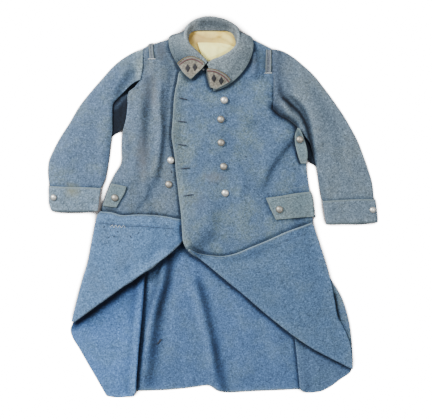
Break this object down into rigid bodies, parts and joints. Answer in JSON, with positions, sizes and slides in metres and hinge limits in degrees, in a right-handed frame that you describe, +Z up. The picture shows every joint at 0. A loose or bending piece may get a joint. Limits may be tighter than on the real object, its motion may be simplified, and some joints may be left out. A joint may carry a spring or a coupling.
{
  "type": "military greatcoat",
  "caption": "Double-breasted wool greatcoat laid flat, sleeves down, both skirt corners turned back, with turned-down collar, cuffs, pocket flaps and domed metal buttons.",
  "frame": {"origin": "centre of the bounding box in plan, on the surface that the coat lies on", "axes": "+Z up from the surface, +Y towards the collar, +X towards the wearer's left sleeve"},
  "size_m": [1.054, 1.2148, 0.0399],
  "materials": {
    "wool": "matt milled wool with a light nap",
    "lining": "plain woven cotton, matt",
    "patch": "matt wool",
    "button": "worn satin white metal",
    "hook": "black japanned, worn"
  },
  "bodies": {
    "root": {"back": "wool", "side_panel_right": "wool", "side_panel_left": "wool", "front_right": "wool", "front_left": "wool", "sleeve_top_right": "wool", "sleeve_top_left": "wool", "sleeve_under_right": "wool", "sleeve_under_left": "wool", "cuff_right": "wool", "cuff_left": "wool", "collar": "wool", "pocket_flap_right": "wool", "pocket_flap_left": "wool", "belt_tab": "wool", "shoulder_loop_right": "wool", "shoulder_loop_left": "wool", "lining_back": "lining", "lining_yoke": "lining", "collar_patch_right": "patch", "collar_patch_left": "patch", "collar_hook": "hook", "button_front_1": "button", "button_front_2": "button", "button_front_3": "button", "button_front_4": "button", "button_front_5": "button", "button_under_1": "button", "button_under_2": "button", "button_pocket_right": "button", "button_pocket_left": "button", "button_tab": "button", "button_cuff_right": "button", "button_cuff_left": "button"}
  },
  "joints": []
}
